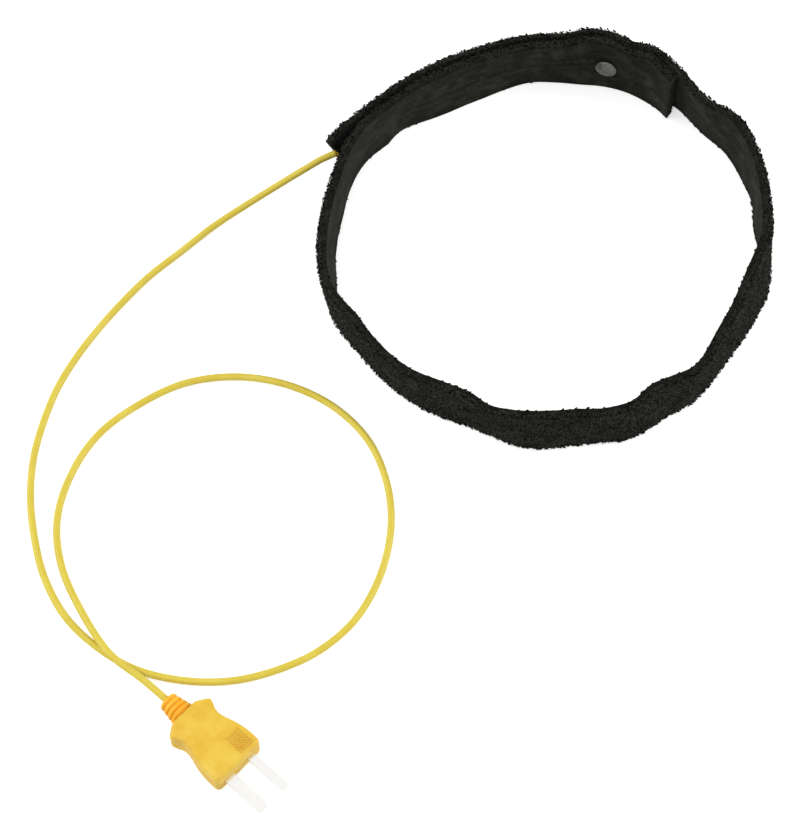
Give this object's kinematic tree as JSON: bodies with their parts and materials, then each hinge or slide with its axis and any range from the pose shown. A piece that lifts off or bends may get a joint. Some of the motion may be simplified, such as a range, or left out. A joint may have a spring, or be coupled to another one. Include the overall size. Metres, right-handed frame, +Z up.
{
  "type": "pipe cuff thermocouple probe",
  "caption": "Hook-and-loop strap cuff with a thermocouple contact disc inside, and a thin lead to a flat miniature thermocouple plug.",
  "frame": {"origin": "centre of the closed strap loop, on the surface that the strap's bottom edge rests on", "axes": "+Z up along the strap's width, which is also the axis of the pipe that it clasps; +X towards the side of the loop away from the lead; +Y towards the overlap that holds the contact disc"},
  "size_m": [0.2096, 0.2373, 0.019],
  "materials": {
    "pile": "matte loop pile",
    "liner": "matte woven",
    "hook": "satin hooks",
    "sensor": "dull",
    "conductor_yellow": "satin",
    "conductor_red": "satin",
    "lead": "satin",
    "core": "bare wire",
    "boot": "matte",
    "shell": "satin moulded",
    "blade": "plain alloy",
    "steel": "plated",
    "brass": "turned"
  },
  "bodies": {
    "cuff": {"cuff_web": "pile", "cuff_liner": "liner", "contact_disc": "sensor", "junction_bead": "core", "wire_positive": "conductor_yellow", "wire_negative": "conductor_red", "lead_cord": "lead", "core_positive": "core", "core_negative": "core", "plug_boot": "boot", "plug_shell_upper": "shell", "plug_shell_lower": "shell", "blade_positive": "blade", "blade_negative": "blade", "terminal_screws": "steel", "case_screw": "steel", "case_insert": "brass"},
    "lower_arm": {"lower_arm_web": "pile", "lower_arm_liner": "liner"},
    "upper_arm": {"upper_arm_web": "pile", "upper_arm_liner": "liner"},
    "flap_root": {"flap_root_web": "pile", "flap_root_hook": "hook"},
    "flap_mid": {"flap_mid_web": "pile", "flap_mid_hook": "hook"},
    "flap_tip": {"flap_tip_web": "pile", "flap_tip_hook": "hook"}
  },
  "joints": [
    {"name": "strap_open", "type": "hinge", "parent": "cuff", "child": "lower_arm", "pos_m": [0.02202, -0.06237, 0], "axis": [0, 0, -1], "range_deg": [0, 25]},
    {"name": "upper_arm_flex", "type": "hinge", "parent": "lower_arm", "child": "upper_arm", "pos_m": [0.06434, 0.00251, 0], "axis": [0, 0, -1], "range_deg": [0, 25]},
    {"name": "flap_peel", "type": "hinge", "parent": "upper_arm", "child": "flap_root", "pos_m": [0.03733, 0.05542, 0], "axis": [0, 0, -1], "range_deg": [0, 35]},
    {"name": "flap_mid_flex", "type": "hinge", "parent": "flap_root", "child": "flap_mid", "pos_m": [0.00121, 0.0647, 0], "axis": [0, 0, -1], "range_deg": [0, 35]},
    {"name": "flap_tip_flex", "type": "hinge", "parent": "flap_mid", "child": "flap_tip", "pos_m": [-0.0326, 0.05235, 0], "axis": [0, 0, -1], "range_deg": [0, 35]}
  ],
  "couplings": [
    {"joint": "upper_arm_flex", "follows": "strap_open", "ratio": 1},
    {"joint": "flap_peel", "follows": "strap_open", "ratio": 1.4},
    {"joint": "flap_mid_flex", "follows": "strap_open", "ratio": 1.4},
    {"joint": "flap_tip_flex", "follows": "strap_open", "ratio": 1.4}
  ]
}
